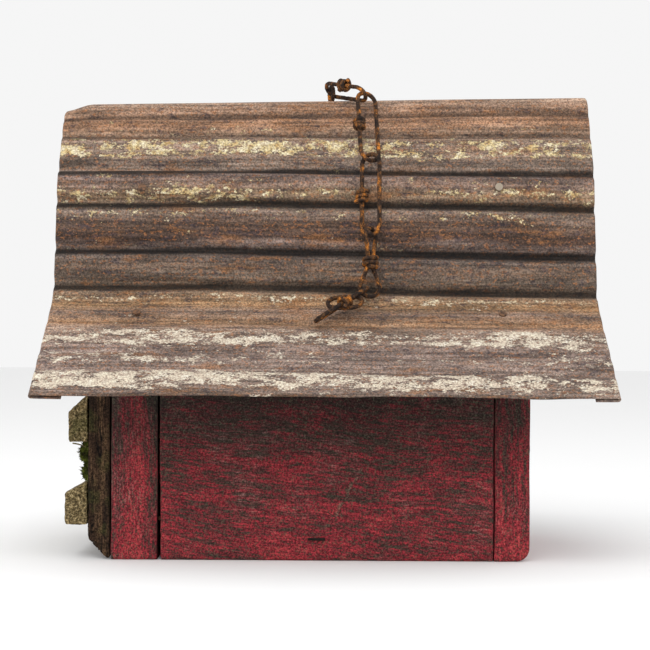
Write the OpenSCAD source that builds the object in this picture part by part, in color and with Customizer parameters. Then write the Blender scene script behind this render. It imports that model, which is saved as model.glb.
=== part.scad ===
// Barn-board birdhouse under a bent corrugated roof, with its hanging chain lying on the roof.
// The ridge runs along X and the entrance faces -X. The house stands on Z = 0.

/* [Box] */
// Outside width across the two side walls
body_w = 140; // [130:1:146]
// Distance from the middle of the roof to the outside of the front wall
front_x = 118; // [112:1:120]
// Distance from the middle of the roof to the outside of the back wall
back_x = 114; // [108:1:120]
// Thickness of the front wall
front_t = 26; // [19:0.5:28]
// Thickness of the back wall
back_t = 20; // [16:0.5:24]
// Thickness of each side wall
side_t = 19; // [16:0.5:22]
// Thickness of the floor
floor_t = 19; // [12:0.5:22]
// Height of the floor's underside above the walls' lower edges
floor_z = 3; // [1:0.5:8]
// Diameter of the entrance hole
entrance_d = 38; // [28:1:42]
// Height of the middle of the entrance hole
entrance_z = 132; // [125:1:145]

/* [Facade] */
// Thickness of the old board nailed over the front wall
facade_t = 12.7; // [9:0.1:16]
// Radius of the rotted lower edge of that board
rot_r = 16; // [6:1:20]
// How far the upper ledge stands out
upper_ledge_d = 11; // [6:0.5:16]
// How far the lower ledge stands out
lower_ledge_d = 13; // [6:0.5:16]

/* [Roof] */
// Length of the sheet along the ridge
roof_l = 308; // [300:1:320]
// Height of the ridge at the middle of the roof
ridge_z = 264; // [262:1:268]
// Thickness of the sheet
sheet_t = 1; // [0.6:0.1:1.2]
// Length of the sheet from the ridge to an eave, along its curve
sheet_s = 228; // [220:1:236]
// Rise of the ridge from the front gable to the back gable
ridge_rise = 6; // [0:1:6]

/* [Chain] */
// Diameter of the chain's wire
wire_d = 2.6; // [2:0.1:2.8]
// Width of a link between the middles of its two long wires
link_w = 11.5; // [10.5:0.1:12.5]

/* [Hidden] */

half_w = body_w / 2;
half_l = roof_l / 2;
facade_x = front_x + facade_t;       // outer face of the facade board, as a distance ahead
inner_front = front_x - front_t;     // inner face of the front wall, as a distance ahead
inner_back = back_x - back_t;
board_gap = 5;                       // from the sheet's upper skin down to the edge of a gable board

// ---- The roof's bent line ----
// The sheet goes round the ridge, down a steep slope, steeper still past the knee, and out
// in a flare to the eave. Its slope at a distance s from the ridge is a sum of smooth bends.
ridge_bend = [0, 17, 60];            // from, to, degrees
knee_bend = [56, 72, 20.5];
flare_bend = [122, 146, -47];
path_step = 3.8;
path_n = round(sheet_s / path_step);

function clamp01(t) = min(1, max(0, t));
function ease(t) = clamp01(t) * clamp01(t) * (3 - 2 * clamp01(t));
function bend(b, s) = b[2] * ease((s - b[0]) / (b[1] - b[0]));
function slope(s) = bend(ridge_bend, s) + bend(knee_bend, s) + bend(flare_bend, s);
function walk(i, p) = i > path_n ? [] :
    concat([p], walk(i + 1, p + path_step * [cos(slope((i + 0.5) * path_step)),
        -sin(slope((i + 0.5) * path_step))]));
path = walk(0, [0, ridge_z]);

// Point on the smooth line at a distance s, and the outward normal there, both in (Y, Z)
function on_path(s) =
    let (i = min(path_n - 1, floor(s / path_step)), f = s / path_step - i)
    path[i] * (1 - f) + path[i + 1] * f;
function out_of(s) = [sin(slope(s)), cos(slope(s))];

// Grooves pressed into the sheet: distance from the ridge, depth, half width
grooves = [[19, 1.0, 3], [33, 1.6, 3.4], [58, 2.4, 4], [79, 2.8, 4], [106, 3.2, 4.4],
    [127, 2.6, 4], [157, 0.9, 5], [187, 0.9, 5], [203, 0.9, 4.4]];
function groove(g, s) = g[1] * exp(-pow((s - g[0]) / g[2], 2));
function dip(s, i = 0) = i == len(grooves) ? 0 : groove(grooves[i], s) + dip(s, i + 1);

// The ridge climbs towards the back, and its front corner is bent down
corner_l = 16;
corner_drop = 4;
function crown(s) = 1 - ease(s / 120);
function lift(s, x) = crown(s) * ridge_rise / 2 * x / half_l
    - corner_drop * (1 - ease(s / 30)) * ease((corner_l - half_l - x) / corner_l);

// Point on the sheet: signed distance sv from the ridge (positive towards -Y), place x along
// the ridge, height n above the upper skin
function roof_pt(sv, x, n) =
    let (s = abs(sv), side = sv < 0 ? 1 : -1,
        q = on_path(s) + out_of(s) * (n - dip(s)))
    [x, side * q[0], q[1] + lift(s, x)];

// Half outline of a gable board under the sheet, from the wall's corner up to the ridge.
// The board stops where the roof's line, moved inwards, leaves the body's width.
function board_pt(s, x) = on_path(s) - out_of(s) * board_gap + [0, lift(s, x)];
board_ss = [for (s = [0:6:sheet_s]) if (board_pt(s, 0)[0] < half_w - 2) s];
function gable_outline(x) = concat(
    [[-half_w, 0], [half_w, 0]],
    [[half_w, shoulder_z]],
    [for (i = [len(board_ss) - 1:-1:1]) board_pt(board_ss[i], x)],
    [[0, board_pt(0, x)[1]]],
    [for (i = [1:len(board_ss) - 1]) [-board_pt(board_ss[i], x)[0], board_pt(board_ss[i], x)[1]]],
    [[-half_w, shoulder_z]]);
shoulder_s = board_ss[len(board_ss) - 1];
shoulder_z = board_pt(shoulder_s, 0)[1]
    - (half_w - board_pt(shoulder_s, 0)[0]) * tan(slope(shoulder_s));

// Extrudes a (Y, Z) outline along X from x0 for a length l
module along_x(x0, l) translate([x0, 0, 0]) rotate([90, 0, 90]) linear_extrude(l) children();
// Extrudes an (X, Z) outline along Y, centred
module along_y(l) rotate([90, 0, 0]) linear_extrude(l, center = true) children();
module entrance() translate([-facade_x - 1, 0, entrance_z]) rotate([0, 90, 0])
    cylinder(d = entrance_d, h = facade_t + front_t + 2, $fn = 64);

// ---- Walls and floor ----
red = "firebrick";
edge_r = 7;                          // worn corner at the foot of the back wall
module front_wall() color(red) difference() {
    along_x(-front_x, front_t) polygon(gable_outline(-front_x));
    entrance();
    front_wall_nails();
    facade_nails();
    ledge_nails();
    roof_nails();
}
module back_wall() color(red) difference() {
    intersection() {
        along_x(inner_back, back_t) polygon(gable_outline(inner_back));
        along_y(body_w + 2) union() {
            translate([inner_back - 1, 0]) square([back_t + 1 - edge_r, ridge_z + 10]);
            translate([inner_back - 1, edge_r]) square([back_t + 1, ridge_z + 10]);
            translate([back_x - edge_r, edge_r]) circle(edge_r, $fn = 48);
        }
    }
    back_wall_nails();
    roof_nails();
}
// A side wall under the flare, with a shrinkage gap that opens towards its foot at the front
gap_foot = 1.8;
side_in = half_w - side_t;
side_top_angle = 33;                 // of its bevelled upper edge, which clears the flare
module side_wall(side) difference() {
    intersection() {
        along_x(-inner_front, inner_front + inner_back)
            polygon([[side * side_in, 0], [side * half_w, 0], [side * half_w, shoulder_z],
                [side * side_in, shoulder_z + side_t * tan(side_top_angle)]]);
        along_y(body_w + 2)
            polygon([[gap_foot - inner_front, 0], [inner_back, 0],
                [inner_back, ridge_z], [-inner_front, ridge_z], [-inner_front, shoulder_z]]);
    }
    front_wall_nails();
    back_wall_nails();
    floor_staples();
}
module near_side_wall() color(red) side_wall(-1);
module far_side_wall() color(red) side_wall(1);
module floor_board() color("peru") difference() {
    translate([-inner_front, -side_in, floor_z])
        cube([inner_front + inner_back, 2 * side_in, floor_t]);
    floor_staples();
}

// ---- Facade ----
module facade_board() color("saddlebrown") difference() {
    intersection() {
        along_x(-facade_x, facade_t) polygon(gable_outline(-facade_x));
        along_y(body_w + 2) union() {
            translate([-facade_x, rot_r]) square([facade_t, ridge_z]);
            intersection() {
                translate([rot_r - facade_x, rot_r]) circle(rot_r, $fn = 64);
                translate([-facade_x, 0]) square([facade_t, rot_r]);
            }
        }
    }
    entrance();
    facade_nails();
    ledge_nails();
}
// A ledge's end outline: its outer face, with a sloped top that meets the board higher up
module ledge_outline(d, z0, z1, z_board) translate([-facade_x, 0])
    polygon([[0, z0], [1 - d, z0], [-d, z0 + 1.5], [-d, z1 - 1.5], [1.2 - d, z1], [0, z_board]]);
upper_ledge_z = [64.6, 83, 92];
lower_ledge_z = [18.8, 37.5, 43];
ledge_inset = 1;
module upper_ledge() color("tan") difference() {
    along_y(body_w - 2 * ledge_inset)
        ledge_outline(upper_ledge_d, upper_ledge_z[0], upper_ledge_z[1], upper_ledge_z[2]);
    ledge_nails();
}
module lower_ledge() color("tan") difference() {
    along_y(body_w - 2 * ledge_inset)
        ledge_outline(lower_ledge_d, lower_ledge_z[0], lower_ledge_z[1], lower_ledge_z[2]);
    ledge_nails();
}
// Moss cushions on the board between the ledges: each is drawn round flat half balls of a
// radius r and a thickness, set at places (Y, Z)
module moss_pad(place, r, thick) translate([-facade_x, place[0], place[1]])
    scale([thick / r, 1, 1]) intersection() {
        sphere(r, $fn = 32);
        translate([-r, 0, 0]) cube(2 * r, center = true);
    }
module moss_upper() color("darkolivegreen") hull() {
    moss_pad([-62, 58.3], 6, 4.4);
    moss_pad([-40, 59.3], 5, 4);
}
module moss_lower() color("darkolivegreen") hull() {
    moss_pad([-60, 47.7], 4.4, 3.8);
    moss_pad([-14, 47.3], 4, 3.4);
}

// ---- Roof ----
front_hem = 16;
back_hem = 12;
hem_n = -2.4 - sheet_t;              // height of the folded strip's lower skin
inner_xs = [-138, -70, 0, 70, 138];
// Stations across the sheet from the front fold to the back fold: outer and inner skin as (x, n)
function fold(e, hem) = [
    [e - sign(e) * hem, hem_n, hem_n + sheet_t],
    [e - sign(e) * 2, hem_n, hem_n + sheet_t],
    [e, -1.7, -1.7],
    [e - sign(e) * 2, 0, -sheet_t]];
front_fold = fold(-half_l, front_hem);
back_fold = fold(half_l, back_hem);
fold_in = 1.1;                       // the inner skin turns this far inside the outer one
outer_skin = concat([for (f = front_fold) [f[0], f[1]]], [for (x = inner_xs) [x, 0]],
    [for (i = [3:-1:0]) [back_fold[i][0], back_fold[i][1]]]);
inner_skin = concat(
    [for (i = [0:3]) [front_fold[i][0] + (i == 2 ? fold_in : 0), front_fold[i][2]]],
    [for (x = inner_xs) [x, -sheet_t]],
    [for (i = [3:-1:0]) [back_fold[i][0] - (i == 2 ? fold_in : 0), back_fold[i][2]]]);
ring = concat(outer_skin, [for (i = [len(inner_skin) - 1:-1:0]) inner_skin[i]]);
sheet_points = [for (j = [-path_n:path_n], p = ring) roof_pt(j * path_step, p[0], p[1])];
module roof_sheet() color("rosybrown") {
    m = len(ring);
    h = len(outer_skin);
    rows = 2 * path_n;
    walls = [for (j = [0:rows - 1], k = [0:m - 1])
        let (a = j * m + k, b = j * m + (k + 1) % m)
        each [[a, b, b + m], [a, b + m, a + m]]];
    caps = [for (k = [0:h - 2]) each [
        [k, m - 1 - k, m - 2 - k], [k, m - 2 - k, k + 1],
        [rows * m + k, rows * m + m - 2 - k, rows * m + m - 1 - k],
        [rows * m + k, rows * m + k + 1, rows * m + m - 2 - k]]];
    polyhedron(sheet_points, concat(walls, caps), convexity = 10);
}

// ---- Fasteners ----
// Nails are drawn with the underside of the head at Z = 0 and the shank below it. Heads of wall
// nails are sunk a little way into the wood.
head_t = 1;
sunk = 0.6;
module nail(len, head_d = 6, d = 2.5) {
    translate([0, 0, -len]) cylinder(d = d, h = len + head_t / 2, $fn = 24);
    cylinder(d = head_d, h = head_t, $fn = 32);
}
// Roof nails stand square to the sheet above the gable boards
roof_nail_x = [-front_x + front_t / 2, inner_back + 5];
roof_nail_s = [70, 150];
roof_nail_l = 22;
roof_nail_head = 4.4;
module roof_nails() color("darkgray")
    for (x = roof_nail_x, s = roof_nail_s, side = [-1, 1])
        translate(roof_pt(side * s, x, 0.05)) rotate([side * slope(s), 0, 0])
            nail(roof_nail_l, roof_nail_head);
// Wall nails run along X through the end walls into the side walls
wall_nail_z = [16, 62, 106];
front_nail_rise = 6;                 // the front wall's nails are this much higher
wall_nail_y = half_w - side_t / 2;
module back_wall_nails() color("dimgray")
    for (z = wall_nail_z, y = [-wall_nail_y, wall_nail_y])
        translate([back_x - sunk, y, z]) rotate([0, 90, 0]) nail(38);
module front_wall_nails() color("dimgray")
    for (z = wall_nail_z, y = [-wall_nail_y, wall_nail_y])
        translate([-front_x + head_t, y, z + front_nail_rise]) rotate([0, -90, 0]) nail(48);
// Nails through the facade and the ledges: half the distance between a pair, height, length
facade_nail_sets = [[30, 58, 30], [52, 110, 30]];
upper_ledge_nails = [45, 74, 34];
lower_ledge_nails = [45, 28, 36];
module nail_pair(set, face_x)
    for (y = [-set[0], set[0]])
        translate([-face_x + sunk, y, set[1]]) rotate([0, -90, 0]) nail(set[2]);
module facade_nails() color("dimgray")
    for (set = facade_nail_sets) nail_pair(set, facade_x);
module ledge_nails() color("dimgray") {
    nail_pair(upper_ledge_nails, facade_x + upper_ledge_d);
    nail_pair(lower_ledge_nails, facade_x + lower_ledge_d);
}
// Staples through the side walls into the floor
staple_w = 9.5;
staple_wire = 1.4;
staple_leg = 24;
staple_proud = 0.4;                  // how far the middle of its crown stands out of the wall
staple_x = [-4, -20];                // near wall, far wall
staple_z = 12;
module staple() {
    for (x = [-1, 1]) translate([x * (staple_w - staple_wire) / 2, 0, 0])
        rotate([-90, 0, 0]) cylinder(d = staple_wire, h = staple_leg, $fn = 16);
    cube([staple_w, staple_wire, staple_wire], center = true);
}
module floor_staples() color("black") {
    translate([staple_x[0], -half_w - staple_proud, staple_z]) staple();
    translate([staple_x[1], half_w + staple_proud, staple_z]) rotate([0, 0, 180]) staple();
}

// ---- Hanger ----
wire_r = wire_d / 2;
eye = [3, 0, 268.2];                 // middle of the eye
eye_r = 4.3;                         // from the middle of the eye to the middle of its wire
eye_turn = -75;
shank_z = ridge_z - 20;              // lower end of its threaded shank
module hanger_eye() color("sienna") {
    translate(eye) rotate([0, 0, eye_turn]) rotate([90, 0, 0])
        rotate_extrude($fn = 64) translate([eye_r, 0]) circle(wire_r, $fn = 24);
    translate([eye[0], eye[1], shank_z]) cylinder(d = wire_d, h = eye[2] - eye_r - shank_z, $fn = 24);
}
washer_top = ridge_z - sheet_t - 1.6;
washer_d = 11;
washer_t = 1.2;
nut_w = 7;                           // across the corners
nut_t = 3;
shank_clear = 0.1;
module shank_hole(z, h) translate([0, 0, z - 1])
    cylinder(d = wire_d + shank_clear, h = h + 2, $fn = 24);
module hanger_washer() color("gray") translate([eye[0], 0, washer_top - washer_t]) difference() {
    cylinder(d = washer_d, h = washer_t, $fn = 48);
    shank_hole(0, washer_t);
}
module hanger_nut() color("gray") translate([eye[0], 0, washer_top - washer_t - nut_t]) difference() {
    cylinder(d = nut_w, h = nut_t, $fn = 6);
    shank_hole(0, nut_t);
}

// ---- Chain ----
// The links lie from the eye over the ridge and down the near slope. Each is a long loop, given
// by the middles of its upper and lower round ends, half the width between its long wires, and
// how far each end is turned about the link's length.
half_link_w = link_w / 2;
links = [
    [[4, -4, 270], [19, -17.5, 266], 4.8, 60],
    [[23.5, -18.5, 261.5], [25, -38, 229.5], half_link_w, 25],
    [[25.5, -41, 222.5], [25.5, -50, 186.5], half_link_w, -32],
    [[25.5, -52, 179.5], [25, -57, 152], half_link_w, 60],
    [[20.5, -58, 149], [-2, -77, 134.5], 3.7, 128]];
away = [[0, -0.3, 1], [0, -0.8, 0.6], [0, -1, 0.2], [0, -1, 0.2], [0, -0.6, 0.8]];
low_turn = 7;                        // of the twisted link's lower end
function unit(v) = v / norm(v);
function link_l(i) = norm(links[i][1] - links[i][0]);
// Puts link i's own frame at its upper end: -Z runs to the lower end, +Y away from the roof
module hang(i) {
    p = links[i][0];
    ez = unit(p - links[i][1]);
    ey = unit(away[i] - (away[i] * ez) * ez);
    ex = cross(ey, ez);
    multmatrix([[ex[0], ey[0], ez[0], p[0]], [ex[1], ey[1], ez[1], p[1]],
        [ex[2], ey[2], ez[2], p[2]]]) children();
}
// Half of a loop: a round end of half width a with its centre at height h, and two legs that
// lean in from it, down to the height foot
module half_loop(h, a, lean, foot) {
    leg = (h - foot - a * sin(lean)) / cos(lean);
    translate([0, 0, h]) rotate([90, 0, 0]) {
        rotate([0, 0, -lean]) rotate_extrude(angle = 180 + 2 * lean, $fn = 48)
            translate([a, 0]) circle(wire_r, $fn = 24);
        for (side = [0, 1]) mirror([side, 0, 0]) rotate([0, 0, -lean])
            translate([a, 0, 0]) rotate([90, 0, 0]) cylinder(r = wire_r, h = leg, $fn = 24);
    }
}
module loop(l, a) {
    half_loop(l / 2, a, 0, 0);
    mirror([0, 0, 1]) half_loop(l / 2, a, 0, 0);
}
// The wire's two ends are wound round the link's leg or waist
coil_h = 6.4;
module coil(x, core_r = wire_r + 0.5, turn_r = wire_r + 1.4, core_h = coil_h) {
    translate([x, 0, -core_h / 2]) cylinder(r = core_r, h = core_h, $fn = 32);
    for (z = [-1, 1]) translate([x, 0, z * wire_r * 1.05]) rotate([8, 6, 0])
        rotate_extrude($fn = 48) translate([turn_r, 0]) circle(wire_r, $fn = 24);
}
// A link of one long loop, with the ends wound round one of its legs
module plain_link(i) hang(i) translate([0, 0, -link_l(i) / 2]) rotate([0, 0, links[i][3]]) {
    loop(link_l(i), links[i][2]);
    coil(links[i][2]);
}
// A link of two loops turned against each other. Their legs lean in to a waist, which the ends
// are wound round.
waist_lean = 15;
waist_foot = 1.5;
waist_core_r = 3.5;
waist_turn_r = 3.6;
waist_core_h = 7.4;
module twisted_link(i) hang(i) translate([0, 0, -link_l(i) / 2]) {
    half_l = link_l(i) / 2;
    rotate([0, 0, links[i][3]]) half_loop(half_l, links[i][2], waist_lean, waist_foot);
    rotate([0, 0, low_turn]) mirror([0, 0, 1])
        half_loop(half_l, links[i][2], waist_lean, waist_foot);
    coil(0, waist_core_r, waist_turn_r, waist_core_h);
}
module chain_link_1() color("sienna") plain_link(0);
module chain_link_2() color("sienna") plain_link(1);
module chain_link_3() color("sienna") plain_link(2);
module chain_link_4() color("sienna") twisted_link(3);
// The last link has one end of its wire sprung open into a loose turn
turn_l = 9;
turn_a = 5;
module chain_link_5() color("sienna") {
    plain_link(4);
    hang(4) translate([0, 0, -link_l(4) * 0.42]) rotate([-6, -50, 0]) loop(turn_l, turn_a);
}

front_wall();
back_wall();
near_side_wall();
far_side_wall();
floor_board();
facade_board();
upper_ledge();
lower_ledge();
moss_upper();
moss_lower();
roof_sheet();
roof_nails();
back_wall_nails();
front_wall_nails();
facade_nails();
ledge_nails();
floor_staples();
hanger_eye();
hanger_washer();
hanger_nut();
chain_link_1();
chain_link_2();
chain_link_3();
chain_link_4();
chain_link_5();
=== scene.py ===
# %% [markdown]
# # A barn-board birdhouse under a corrugated roof
# The house is a box of weathered red boards with a dark old board nailed across its front. Its
# roof is one rusty corrugated sheet bent over the ridge, and a length of knotted wire chain
# lies over it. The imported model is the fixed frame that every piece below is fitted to.

# %% Load the frame
import math
import random
import bpy
import bmesh
from mathutils import Matrix, Vector, noise


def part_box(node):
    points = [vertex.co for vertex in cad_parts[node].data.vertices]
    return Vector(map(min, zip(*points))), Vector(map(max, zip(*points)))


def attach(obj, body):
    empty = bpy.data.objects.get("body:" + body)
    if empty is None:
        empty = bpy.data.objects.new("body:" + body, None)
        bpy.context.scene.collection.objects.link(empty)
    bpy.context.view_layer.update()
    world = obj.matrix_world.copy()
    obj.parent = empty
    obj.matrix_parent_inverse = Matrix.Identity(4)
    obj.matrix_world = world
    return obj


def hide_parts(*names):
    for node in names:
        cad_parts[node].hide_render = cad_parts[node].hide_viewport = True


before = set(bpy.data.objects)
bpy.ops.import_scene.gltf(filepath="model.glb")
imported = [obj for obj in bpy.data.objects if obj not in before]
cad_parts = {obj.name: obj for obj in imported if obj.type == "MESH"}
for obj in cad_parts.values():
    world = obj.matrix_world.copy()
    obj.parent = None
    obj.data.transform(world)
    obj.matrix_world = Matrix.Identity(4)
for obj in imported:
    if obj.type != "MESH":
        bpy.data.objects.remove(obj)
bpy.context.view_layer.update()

mm = 0.001

# %% [markdown]
# ## The camera
# The house is seen square on to its long side, from a metre away and a little above half its
# height. A long lens at that distance keeps the roof's two ends almost parallel. A tiny upward
# tilt and roll frame it as a hand-held camera does.

# %% Camera
eave_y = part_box("roof_sheet")[0].y
eye_height = 122 * mm
eye_distance = 870 * mm                 # from the near eave
camera_data = bpy.data.cameras.new("camera")
camera_data.lens = 93
camera_data.clip_start = 0.05
camera = bpy.data.objects.new("camera", camera_data)
bpy.context.scene.collection.objects.link(camera)
camera.location = (0, eave_y - eye_distance, eye_height)
tilt_up = math.radians(0.51)
roll = math.radians(0.35)
camera.rotation_euler = (Matrix.Rotation(math.radians(90) + tilt_up, 3, "X")
                         @ Matrix.Rotation(roll, 3, "Z")).to_euler()
bpy.context.scene.camera = camera
bpy.context.scene.view_settings.view_transform = "Standard"
print("camera", [round(v, 3) for v in camera.location])

# %% [markdown]
# ## Light and floor
# Soft studio light: a white world for fill, a wide panel above the camera, and a weaker one to
# each side. The floor is a plain pale sheet that runs far behind the house.

# %% Stage
world = bpy.data.worlds.new("studio")
bpy.context.scene.world = world
world.use_nodes = True
world.node_tree.nodes["Background"].inputs["Color"].default_value = (1, 1, 1, 1)
world.node_tree.nodes["Background"].inputs["Strength"].default_value = 0.92


def panel_light(name, place, aim, size, watts):
    """A square soft light at a place, facing a point."""
    data = bpy.data.lights.new(name, "AREA")
    data.size = size
    data.energy = watts
    lamp = bpy.data.objects.new(name, data)
    bpy.context.scene.collection.objects.link(lamp)
    lamp.location = place
    lamp.rotation_euler = (Vector(aim) - Vector(place)).to_track_quat("-Z", "Y").to_euler()


middle = Vector((0, 0, 0.13))
panel_light("key", (-0.25, -1.3, 1.5), middle, 1.1, 15)
panel_light("left_fill", (-1.5, -0.6, 0.6), middle, 0.8, 5)
panel_light("right_fill", (1.5, -0.6, 0.6), middle, 0.8, 4)

floor_mesh = bpy.data.meshes.new("floor")
shape = bmesh.new()
bmesh.ops.create_grid(shape, x_segments=1, y_segments=1, size=6)
shape.to_mesh(floor_mesh)
shape.free()
floor = bpy.data.objects.new("floor", floor_mesh)
bpy.context.scene.collection.objects.link(floor)
paper = bpy.data.materials.new("pale_paper")
paper.use_nodes = True
paper.node_tree.nodes["Principled BSDF"].inputs["Base Color"].default_value = (0.9, 0.9, 0.9, 1)
paper.node_tree.nodes["Principled BSDF"].inputs["Roughness"].default_value = 0.9
floor_mesh.materials.append(paper)
print("stage", len(bpy.data.lights), "lights and a floor")

# %% [markdown]
# ## Colours
# A maker names a colour as the eye reads it, each part from 0 to 255. A shader adds and mixes
# light, so it needs the same colour in linear light. One helper turns the first into the second.

# %% Colours
def paint(red, green, blue):
    """A colour read off a swatch, 0 to 255, as linear light."""
    def linear(value):
        value /= 255
        return value / 12.92 if value <= 0.04045 else ((value + 0.055) / 1.055) ** 2.4
    return (linear(red), linear(green), linear(blue), 1)


print("barn red in linear light", [round(part, 3) for part in paint(140, 40, 48)])

# %% [markdown]
# ## A short way to mix a finish
# Every finish here is a Principled shader with its colour, roughness and bump made from noise.
# Adding nodes one by one takes many lines, so a small class gives each kind of node one short
# call.

# %% Finish helper
class Finish:
    """A material that is built up in layers."""

    def __init__(self, name, roughness=0.85, metallic=0.0, specular=0.3):
        self.material = bpy.data.materials.new(name)
        self.material.use_nodes = True
        self.nodes = self.material.node_tree.nodes
        self.links = self.material.node_tree.links
        self.shader = self.nodes["Principled BSDF"]
        self.shader.inputs["Roughness"].default_value = roughness
        self.shader.inputs["Metallic"].default_value = metallic
        self.shader.inputs["Specular IOR Level"].default_value = specular

    def node(self, kind, inputs, **settings):
        """Adds a node. An input is another node's socket, to be linked, or a plain value."""
        made = self.nodes.new(kind)
        for key, value in settings.items():
            setattr(made, key, value)
        for key, value in inputs.items():
            if isinstance(value, bpy.types.NodeSocket):
                self.links.new(value, made.inputs[key])
            else:
                made.inputs[key].default_value = value
        return made

    def place(self, scale=(1, 1, 1), turn=(0, 0, 0), shift=(0, 0, 0), source="Object"):
        """Where the surface is, in metres, stretched by scale."""
        where = self.node("ShaderNodeTexCoord", {}).outputs[source]
        return self.node("ShaderNodeMapping", {"Vector": where, "Scale": scale, "Rotation": turn,
                                               "Location": shift}).outputs["Vector"]

    def axis(self, name):
        """How far along X, Y or Z the surface is, in metres."""
        where = self.node("ShaderNodeTexCoord", {}).outputs["Object"]
        return self.node("ShaderNodeSeparateXYZ", {"Vector": where}).outputs[name]

    def cloud(self, where, scale, detail=4.0, rough=0.55, warp=0.0):
        """Smooth noise, about 0.3 to 0.7."""
        return self.node("ShaderNodeTexNoise", {
            "Vector": where, "Scale": scale, "Detail": detail, "Roughness": rough,
            "Distortion": warp}).outputs["Fac"]

    def cells(self, where, scale):
        """How far the nearest of many scattered points is."""
        return self.node("ShaderNodeTexVoronoi",
                         {"Vector": where, "Scale": scale}).outputs["Distance"]

    def between(self, value, low, high, out_low=0.0, out_high=1.0, smooth=True):
        """0 below low and 1 above high, or the other way round if high is the smaller."""
        return self.node("ShaderNodeMapRange", {
            "Value": value, "From Min": low, "From Max": high, "To Min": out_low,
            "To Max": out_high},
            interpolation_type="SMOOTHSTEP" if smooth else "LINEAR").outputs["Result"]

    def sum(self, kind, first, second=0.0):
        """A sum on one or two numbers: ADD, SUBTRACT, MULTIPLY, DIVIDE or ABSOLUTE."""
        made = self.nodes.new("ShaderNodeMath")
        made.operation = kind
        for socket, value in zip(made.inputs, (first, second)):
            if isinstance(value, bpy.types.NodeSocket):
                self.links.new(value, socket)
            else:
                socket.default_value = value
        return made.outputs[0]

    def ramp(self, value, stops):
        """A row of (place, colour) stops. A plain number stands for a grey."""
        made = self.node("ShaderNodeValToRGB", {"Fac": value})
        row = made.color_ramp.elements
        while len(row) < len(stops):
            row.new(1.0)
        for element, (where, colour) in zip(row, stops):
            element.position = where
            element.color = (colour,) * 3 + (1,) if isinstance(colour, float) else colour
        return made.outputs["Color"]

    def mix(self, amount, below, above, kind="MIX"):
        """One colour over another. Sockets 6 and 7 are the node's two colours."""
        made = self.node("ShaderNodeMix", {}, data_type="RGBA", blend_type=kind)
        for key, value in ((0, amount), (6, below), (7, above)):
            if isinstance(value, bpy.types.NodeSocket):
                self.links.new(value, made.inputs[key])
            else:
                made.inputs[key].default_value = value
        return made.outputs[2]

    def done(self, colour, height=None, depth=0.3 * mm, roughness=None):
        """Wires the colour in, with a bump of a real depth in metres and a roughness."""
        self.links.new(colour, self.shader.inputs["Base Color"])
        if height is not None:
            bump = self.node("ShaderNodeBump", {"Height": height, "Distance": depth,
                                                "Strength": 1.0})
            self.links.new(bump.outputs["Normal"], self.shader.inputs["Normal"])
        if roughness is not None:
            self.links.new(roughness, self.shader.inputs["Roughness"])
        return self.material


def overlay(finish, colour, value, amount, spread):
    """Lightens and darkens a colour where a value is high and low, by spread round mid grey."""
    shade = finish.ramp(value, [(0.0, 0.5 - spread), (0.5, 0.5), (1.0, 0.5 + spread)])
    return finish.mix(amount, colour, shade, "OVERLAY")


print("finish helper ready")

# %% [markdown]
# A shape becomes a piece when it has a mesh, a material and a name. It is also told which body
# it rides on and which CAD nodes it takes the place of.

# %% Piece helper
def finish_piece(name, shape, body, material, stands_for=(), smooth=True):
    """Turns a bmesh into a named piece that rides on a body."""
    mesh = bpy.data.meshes.new(name)
    shape.to_mesh(mesh)
    shape.free()
    for face in mesh.polygons:
        face.use_smooth = smooth
    piece = bpy.data.objects.new(name, mesh)
    bpy.context.scene.collection.objects.link(piece)
    mesh.materials.append(material)
    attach(piece, body)
    if stands_for:
        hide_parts(*stands_for)
    print(name, len(mesh.polygons), "faces")
    return piece


print("piece helper ready")

# %% [markdown]
# ## The bent line of the roof
# Seen from the end, the sheet goes round the ridge, down a steep slope, steeper past a knee, and
# out in a flare to the eave. Its slope at a distance s from the ridge is a sum of three smooth
# bends, so walking along it in small steps gives the whole line.

# %% Roof line
sheet_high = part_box("roof_sheet")[1]
half_length = sheet_high.x
ridge_rise = 6 * mm
ridge_top = sheet_high.z - ridge_rise / 2
sheet_reach = 228 * mm                  # from the ridge to an eave, along the curve
bends = [(0, 17, 60), (56, 72, 20.5), (122, 146, -47)]   # from, to (mm), degrees
path_step = 1 * mm


def ease(t):
    t = min(1.0, max(0.0, t))
    return t * t * (3 - 2 * t)


def slope(s):
    """How steeply the sheet falls at a distance s (metres) from the ridge, in radians."""
    s /= mm
    return math.radians(sum(turn * ease((s - start) / (end - start))
                            for start, end, turn in bends))


path = [Vector((0, ridge_top))]
while len(path) * path_step <= sheet_reach + path_step:
    fall = slope((len(path) - 0.5) * path_step)
    path.append(path[-1] + path_step * Vector((math.cos(fall), -math.sin(fall))))


def on_line(s):
    whole = int(s / path_step)
    return path[whole].lerp(path[whole + 1], s / path_step - whole)


print("eave line ends at", [round(v / mm, 1) for v in on_line(sheet_reach)])

# %% [markdown]
# ## The surface of the roof
# Grooves are pressed into the bent line, and each pushes up a low lip on both sides. They wander
# a little along their length. Slow noise adds the dents of age, the ridge climbs towards the
# back, and its front corner is bent down.

# %% Roof surface
grooves = [(19, 1.0, 2.4), (33, 1.6, 2.6), (58, 2.6, 3.0), (79, 3.0, 3.0), (106.5, 3.4, 3.4),
           (127.5, 2.8, 3.2), (157, 0.9, 4), (187, 0.9, 4), (203, 0.9, 4)]  # place, depth, width
lip = 0.3                               # a groove's raised lips, as a share of its depth


def wander(s, x):
    """How far the grooves stray towards the eave at a place along the ridge."""
    drift = (1.0 + 2.6 * x / half_length) * mm
    waver = noise.noise(Vector((x * 9, s * 22, 3.7))) * 1.8 * mm
    return (drift + waver) * ease(s / (60 * mm))


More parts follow.
